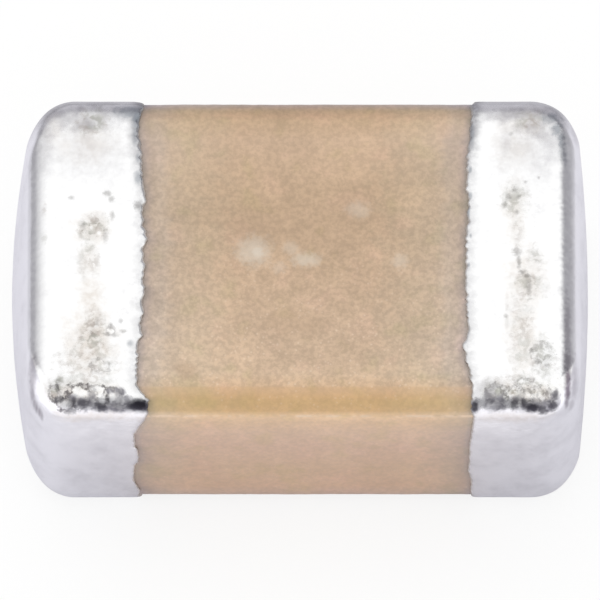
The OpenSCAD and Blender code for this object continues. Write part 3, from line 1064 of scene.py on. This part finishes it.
# The place on a cap that a pixel of the photo shows: where the line of sight meets the cap's outline
def onTin(own, px, py):
    v = view
    x = (px - v["imageWidth"] / 2) / v["pixelsPerMm"]
    tilt = math.radians(v["elevation"])
    up = (v["imageWidth"] / 2 - v["drop"] - py) / v["pixelsPerMm"]
    outline = outlineAt(own, abs(x))
    for step in range(v["sightSteps"]):
        depth = v["sightStart"] - v["sightStep"] * step
        y = up * math.sin(tilt) - depth * math.cos(tilt)
        z = v["middle"] + up * math.cos(tilt) + depth * math.sin(tilt)
        if gapFrom(outline, Vector((x, y, z))) <= 0.0:
            break
    return (x, y, z)


def onPart(own, marks):
    across = 1.0 / view["pixelsPerMm"]
    places = []
    for px, py, wide, tall, strength, *ragged in marks:
        deep = tall * across * 1.1
        reach = (wide * across, deep, max(deep, 0.03))
        places.append((onTin(own, px, py), reach, strength, (ragged + [2.0])[0]))
    return places


def makeTinMaterial(name, own, marks):
    p = plated
    material, position = newMaterial(name)
    y, z = partsOf(position)[1:3]
    onTop = ramp(z, 0.66, 0.74)
    grain = grainOf(position, 60.0, 0.55)
    broad = noiseOf(position, 9.0, 4.0, 0.6)
    medium = noiseOf(position, 30.0, 3.0, 0.6)
    mottle = ramp(noiseOf(position, 38.0, 2.0, 0.6, 0.3), 0.36, 0.62)
    tint = noiseOf(position, 14.0, 2.0, 0.5)
    partly = ramp(medium, 0.3, 0.6, 0.5, 1.0)
    behind = measureOf(material, "behindLip")

    def marked(kind, output="Mask"):
        return spots(position, onPart(own, marks[kind]), *p[kind], output)

    def mottled(share, least):
        return times(share, ramp(mottle, 0.0, 1.0, least, 1.0))

    def coated(share, shade):
        return mixed(share, metal, shade)

    clouds, smudgesAndReflection = marked("clouds"), marked("smudgesAndReflection")
    worn = mottled(marked("stains"), 0.25)
    # clean tin, faintly clouded all over and more so off the top
    clouded = times(ramp(broad, 0.42, 0.75), ramp(medium, 0.35, 0.65), 0.16)
    metal = mixed(clouded, p["bright"], p["grey"])
    dimmed = times(ramp(broad, 0.35, 0.7), ramp(onTop, 1.0, 0.0, 0.0, 0.16))
    metal = coated(dimmed, p["grey"])
    # its broad marks; the grey clouds are partly stains and, along the back of the top and the left end,
    # painted shade
    metal = coated(times(marked("tints"), partly), p["beige"])
    metal = coated(times(clouds, ramp(broad, 0.35, 0.6, 0.5, 1.0)), p["grey"])
    metal = coated(worn, mixed(ramp(tint, 0.42, 0.58), p["stain"], p["olive"]))
    metal = coated(mottled(marked("rings", "Rim"), 0.5), p["ring"])
    metal = coated(marked("specks"), p["speck"])
    # the lip: its thin edge, painted shade behind it and painted shade in dark notches along it
    solid = ramp(behind, 0.1, 0.9)
    metal = mixed(solid, p["thin"], metal)
    shaded = times(ramp(behind, 5.0, 1.0), ramp(y, 0.25, 0.5, 0.28, 0.8), onTop, partly)
    metal = coated(shaded, p["shade"])
    lipNotchShade = ramp(noiseOf(position, 55.0, 1.0, 0.5), 0.58, 0.42)
    metal = coated(times(ramp(behind, 1.6, 0.2), lipNotchShade, 0.25), p["speck"])
    # painted shade in teal along the lips, mostly toward the back, and round the right end's back corner;
    # along the front edge, a painted dark reflection where the top curves over, in smudges that are also
    # rough spots, black spots and pale gaps; and the painted dark line of the shaded rim
    metal = coated(marked("teals"), p["teal"])
    metal = coated(mottled(smudgesAndReflection, 0.6), p["charcoal"])
    metal = coated(marked("blacks"), p["black"])
    metal = coated(marked("pales"), p["bright"])
    metal = coated(marked("rims"), p["plum"])
    dull = maths("MAXIMUM", maths("MAXIMUM", worn, smudgesAndReflection), times(clouds, 0.5))
    base = ramp(grain["Fine"], 0.0, 1.0, p["roughness"], p["roughness"] + 0.06)
    height = maths("SUBTRACT", times(grain["Fine"], 0.3), times(dull, mottle, 0.5))
    surface = {
        "Base Color": metal,
        "Metallic": solid,
        "Roughness": maths("ADD", base, times(dull, 0.25)),
        "Normal": bumped(maths("ADD", height, times(medium, 0.3)), 0.0004),
    }
    finishMaterial(surface)
    return material


for end, marks in (("left", leftMarks), ("right", rightMarks)):
    dress(caps[end], makeTinMaterial(end + "Tin", tin[end], marks))

print("stage: finishes of the hidden metals")

hidden = {
    "copper": dict(base=colour(178, 108, 72), worn=colour(128, 74, 52), roughness=0.45, frequency=40.0),
    "nickel": dict(base=colour(176, 172, 160), worn=colour(140, 136, 126), roughness=0.35, frequency=70.0),
    "electrode": dict(base=colour(150, 146, 138), worn=colour(112, 108, 102), roughness=0.5, frequency=50.0),
}


def makeHiddenMaterial(name, finish):
    material, position = newMaterial(name)
    grain = grainOf(position, finish["frequency"], 0.6)
    surface = {
        "Base Color": mixed(grain["Fine"], finish["worn"], finish["base"]),
        "Metallic": 1.0,
        "Roughness": ramp(grain["Cells"], 0.0, 1.0, finish["roughness"], finish["roughness"] + 0.15),
        "Normal": bumped(grain["Fine"], 0.001),
    }
    finishMaterial(surface)
    return material


hiddenMaterials = {name: makeHiddenMaterial(name + "Layer", finish) for name, finish in hidden.items()}
for nodeName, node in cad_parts.items():
    for word, material in hiddenMaterials.items():
        if word in nodeName:
            dress(node, material)

print("stage: finish")
